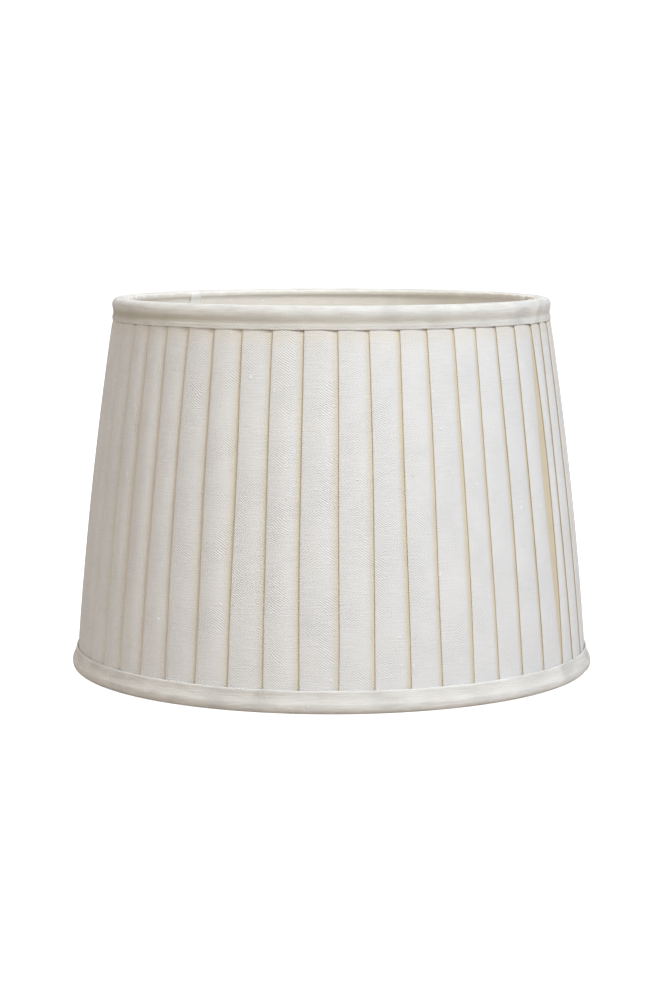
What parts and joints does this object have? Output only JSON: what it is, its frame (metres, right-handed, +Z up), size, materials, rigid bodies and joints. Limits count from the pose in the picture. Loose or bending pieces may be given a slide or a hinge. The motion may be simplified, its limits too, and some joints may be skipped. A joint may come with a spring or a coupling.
{
  "type": "pleated lampshade",
  "caption": "Tapered drum lampshade with knife pleats, bound rims, a soft lining and a dropped ring fitter on a wire frame.",
  "frame": {"origin": "centre of the bottom rim, in the plane that the shade stands on", "axes": "+Z up along the shade's axis, -Y towards the front, +X to the right seen from the front"},
  "size_m": [0.3, 0.3, 0.212],
  "materials": {
    "pleat_linen": "matte",
    "binding_linen": "matte",
    "lining_cloth": "matte",
    "cotton_tape": "matte",
    "coated_wire": "satin"
  },
  "bodies": {
    "root": {"pleated_cover": "pleat_linen", "lining": "lining_cloth", "top_binding": "binding_linen", "bottom_binding": "binding_linen", "top_ring_tape": "cotton_tape", "bottom_ring_tape": "cotton_tape", "seam_strut_tape": "cotton_tape", "top_ring": "coated_wire", "bottom_ring": "coated_wire", "fitter_ring": "coated_wire", "strut_1": "coated_wire", "strut_2": "coated_wire", "strut_3": "coated_wire", "strut_4": "coated_wire", "strut_5": "coated_wire", "strut_6": "coated_wire", "fitter_arm_1": "coated_wire", "fitter_arm_2": "coated_wire", "fitter_arm_3": "coated_wire", "neatening_piece_1": "lining_cloth", "neatening_piece_2": "lining_cloth", "neatening_piece_3": "lining_cloth"}
  },
  "joints": []
}
